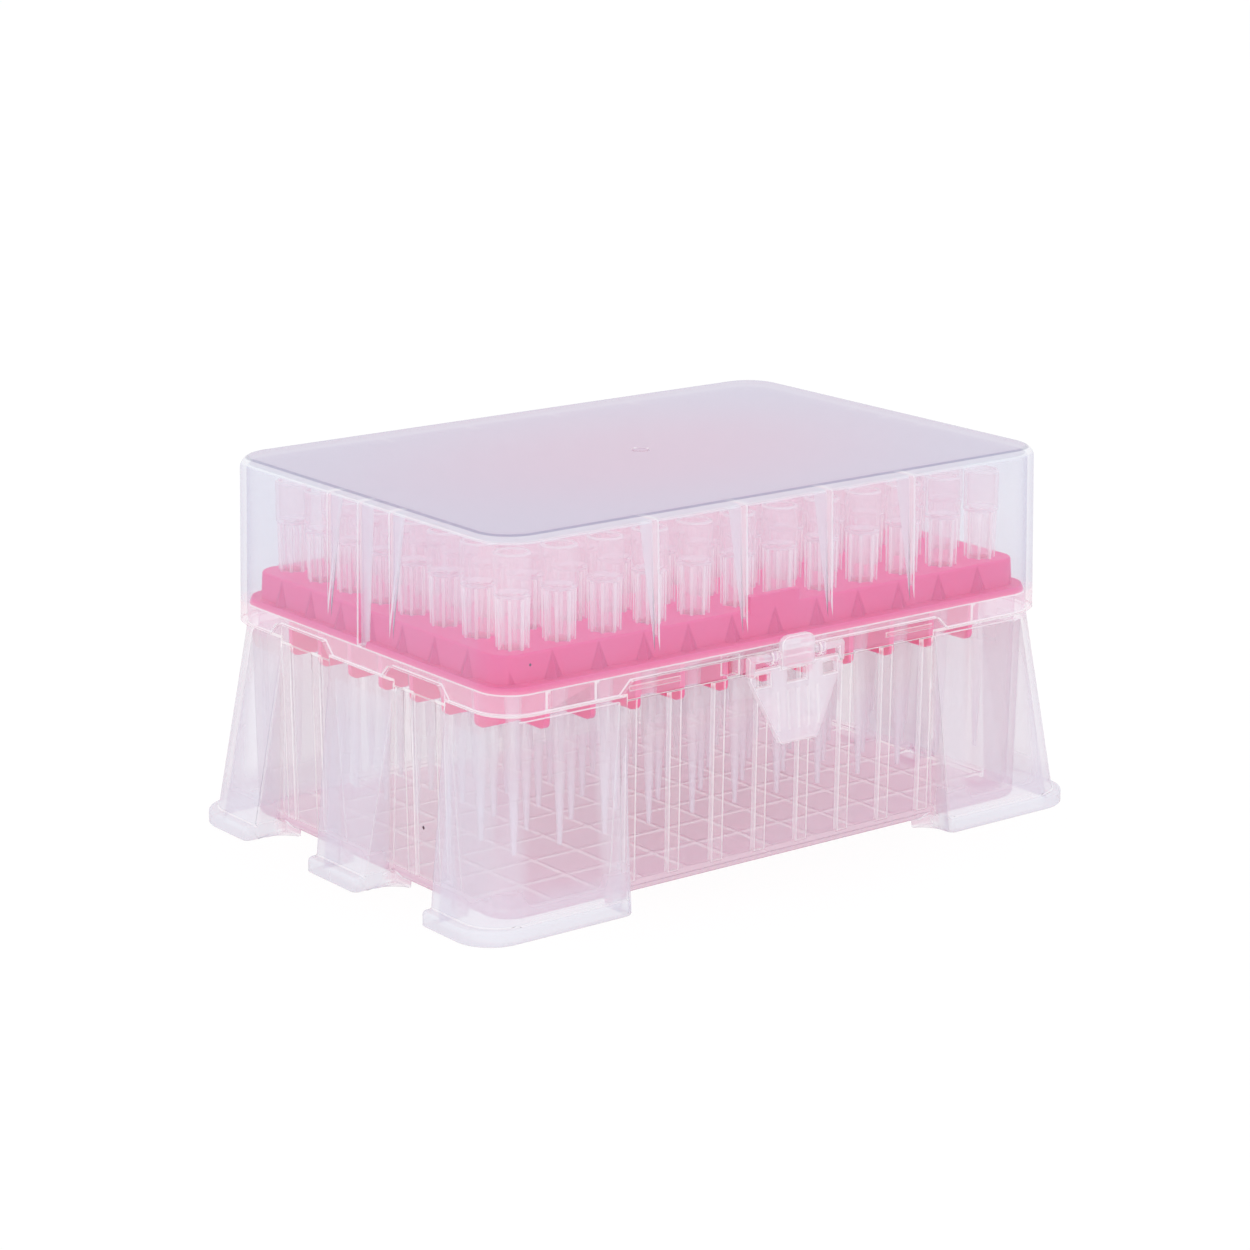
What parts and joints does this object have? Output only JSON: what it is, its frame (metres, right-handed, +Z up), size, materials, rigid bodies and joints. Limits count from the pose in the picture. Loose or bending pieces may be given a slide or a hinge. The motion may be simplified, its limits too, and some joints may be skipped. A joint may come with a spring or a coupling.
{
  "type": "box of pipette tips",
  "caption": "See-through hinged box on foot columns, with a front latch and a pink rack that holds clear pipette tips upright in a grid.",
  "frame": {"origin": "under the middle of the tip grid, on the surface that the feet rest on", "axes": "+X along the box, +Y from the latch towards the hinge, +Z up"},
  "size_m": [0.1278, 0.0854, 0.064],
  "materials": {
    "clear_plastic": "clear moulded polypropylene with a faint haze",
    "pink_plastic": "pink moulded polypropylene, slightly translucent"
  },
  "bodies": {
    "box": {"base": "clear_plastic", "rack": "pink_plastic", "tips_01_gh": "clear_plastic", "tips_01_ef": "clear_plastic", "tips_01_cd": "clear_plastic", "tips_01_ab": "clear_plastic", "tips_02_gh": "clear_plastic", "tips_02_ef": "clear_plastic", "tips_02_cd": "clear_plastic", "tips_02_ab": "clear_plastic", "tips_03_gh": "clear_plastic", "tips_03_ef": "clear_plastic", "tips_03_cd": "clear_plastic", "tips_03_ab": "clear_plastic", "tips_04_gh": "clear_plastic", "tips_04_ef": "clear_plastic", "tips_04_cd": "clear_plastic", "tips_04_ab": "clear_plastic", "tips_05_gh": "clear_plastic", "tips_05_ef": "clear_plastic", "tips_05_cd": "clear_plastic", "tips_05_ab": "clear_plastic", "tips_06_gh": "clear_plastic", "tips_06_ef": "clear_plastic", "tips_06_cd": "clear_plastic", "tips_06_ab": "clear_plastic", "tips_07_gh": "clear_plastic", "tips_07_ef": "clear_plastic", "tips_07_cd": "clear_plastic", "tips_07_ab": "clear_plastic", "tips_08_gh": "clear_plastic", "tips_08_ef": "clear_plastic", "tips_08_cd": "clear_plastic", "tips_08_ab": "clear_plastic", "tips_09_gh": "clear_plastic", "tips_09_ef": "clear_plastic", "tips_09_cd": "clear_plastic", "tips_09_ab": "clear_plastic", "tips_10_gh": "clear_plastic", "tips_10_ef": "clear_plastic", "tips_10_cd": "clear_plastic", "tips_10_ab": "clear_plastic", "tips_11_gh": "clear_plastic", "tips_11_ef": "clear_plastic", "tips_11_cd": "clear_plastic", "tips_11_ab": "clear_plastic", "tips_12_gh": "clear_plastic", "tips_12_ef": "clear_plastic", "tips_12_cd": "clear_plastic", "tips_12_ab": "clear_plastic"},
    "lid": {"lid": "clear_plastic"},
    "latch": {"latch": "clear_plastic"}
  },
  "joints": [
    {"name": "lid_hinge", "type": "hinge", "parent": "box", "child": "lid", "pos_m": [0, 0.041, 0.036], "axis": [-1, 0, 0], "range_deg": [0, 100]},
    {"name": "latch_pivot", "type": "hinge", "parent": "box", "child": "latch", "pos_m": [0, -0.04125, 0.0374], "axis": [1, 0, 0], "range_deg": [0, 11]}
  ]
}
